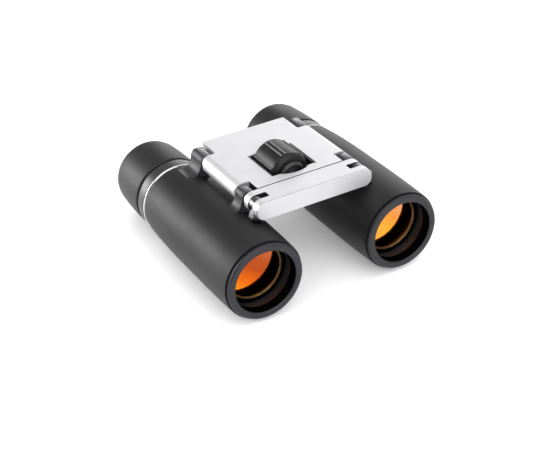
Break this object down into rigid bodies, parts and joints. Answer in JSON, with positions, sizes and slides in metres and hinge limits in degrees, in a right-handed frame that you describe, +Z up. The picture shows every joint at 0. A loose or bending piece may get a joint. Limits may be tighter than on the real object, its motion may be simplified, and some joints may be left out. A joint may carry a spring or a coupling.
{
  "type": "folding binoculars",
  "caption": "Compact double-hinge binoculars: two black rubber-armoured barrels with orange-coated objectives under a flat silver bridge with a central focus wheel.",
  "frame": {"origin": "centre of the bounding box's base, on the floor under the two barrels", "axes": "+X to the right across the barrels, +Y along the optical axes from objectives to eyecups, +Z up"},
  "size_m": [0.1024, 0.1086, 0.0505],
  "materials": {
    "soft_touch_rubber": "soft-touch matte black rubber",
    "eyecup_rubber": "matte black moulded rubber",
    "satin_silver": "satin silver with a fine grain",
    "dark_plastic": "dark grey semi-gloss casting",
    "slate_bezel": "slate grey matt rim",
    "chrome": "bright plated ring",
    "ruby_glass": "orange-red mirror coating",
    "clear_glass": "clear optical glass",
    "brass": "turned brass",
    "steel": "turned steel",
    "wheel_rubber": "matte black rubber with raised bars",
    "black_plastic": "black moulded plastic"
  },
  "bodies": {
    "bridge": {"bridge_body": "satin_silver", "bridge_cover": "satin_silver", "wheel_well": "black_plastic", "front_bush": "brass", "rear_bush": "brass", "left_hinge_pin": "steel", "right_hinge_pin": "steel", "cover_screw_left_front": "steel", "cover_screw_left_rear": "steel", "cover_screw_right_front": "steel", "cover_screw_right_rear": "steel"},
    "left_half": {"left_barrel": "dark_plastic", "left_armour": "soft_touch_rubber", "left_front_bezel": "slate_bezel", "left_prism_cup": "black_plastic", "left_roof_prism": "clear_glass", "left_half_prism": "clear_glass", "left_trim_ring": "chrome", "left_collar": "dark_plastic", "left_eyepiece_tube": "black_plastic", "left_field_lens": "clear_glass", "left_eye_lens": "clear_glass", "left_eyecup": "eyecup_rubber"},
    "right_half": {"right_barrel": "dark_plastic", "right_armour": "soft_touch_rubber", "right_front_bezel": "slate_bezel", "right_prism_cup": "black_plastic", "right_roof_prism": "clear_glass", "right_half_prism": "clear_glass", "right_trim_ring": "chrome"},
    "dioptre": {"right_collar": "dark_plastic", "right_eyepiece_tube": "black_plastic", "right_field_lens": "clear_glass", "right_eye_lens": "clear_glass", "right_eyecup": "eyecup_rubber"},
    "left_objective": {"left_objective_cell": "black_plastic", "left_objective_lens": "ruby_glass", "left_objective_ring": "brass"},
    "right_objective": {"right_objective_cell": "black_plastic", "right_objective_lens": "ruby_glass", "right_objective_ring": "brass"},
    "focus": {"focus_wheel": "wheel_rubber", "wheel_hub": "black_plastic", "hub_cap": "black_plastic", "focus_spindle": "steel", "spindle_clip": "steel"},
    "sliding_bridge": {"front_bridge": "satin_silver", "focus_nut": "brass"}
  },
  "joints": [
    {"name": "left_fold", "type": "hinge", "parent": "bridge", "child": "left_half", "pos_m": [-0.0242, -0.0043, 0.0411], "axis": [0, -1, 0], "range_deg": [0, 31]},
    {"name": "right_fold", "type": "hinge", "parent": "bridge", "child": "right_half", "pos_m": [0.0242, -0.0043, 0.0411], "axis": [0, 1, 0], "range_deg": [0, 31]},
    {"name": "focus_turn", "type": "hinge", "parent": "bridge", "child": "focus", "pos_m": [0, -0.0123, 0.0412], "axis": [0, 1, 0], "range_deg": [0, 450]},
    {"name": "front_bridge_slide", "type": "slide", "parent": "bridge", "child": "sliding_bridge", "axis": [0, -1, 0], "range_m": [0, 0.0026]},
    {"name": "left_objective_slide", "type": "slide", "parent": "left_half", "child": "left_objective", "axis": [0, -1, 0], "range_m": [0, 0.0026]},
    {"name": "right_objective_slide", "type": "slide", "parent": "right_half", "child": "right_objective", "axis": [0, -1, 0], "range_m": [0, 0.0026]},
    {"name": "dioptre_turn", "type": "hinge", "parent": "right_half", "child": "dioptre", "pos_m": [0.033, 0.0357, 0.0182], "axis": [0, 1, 0], "range_deg": [-60, 60]}
  ],
  "couplings": [
    {"joint": "focus_turn", "follows": "front_bridge_slide", "rad_per_m": 3020.7},
    {"joint": "left_objective_slide", "follows": "front_bridge_slide", "ratio": 1},
    {"joint": "right_objective_slide", "follows": "front_bridge_slide", "ratio": 1}
  ]
}
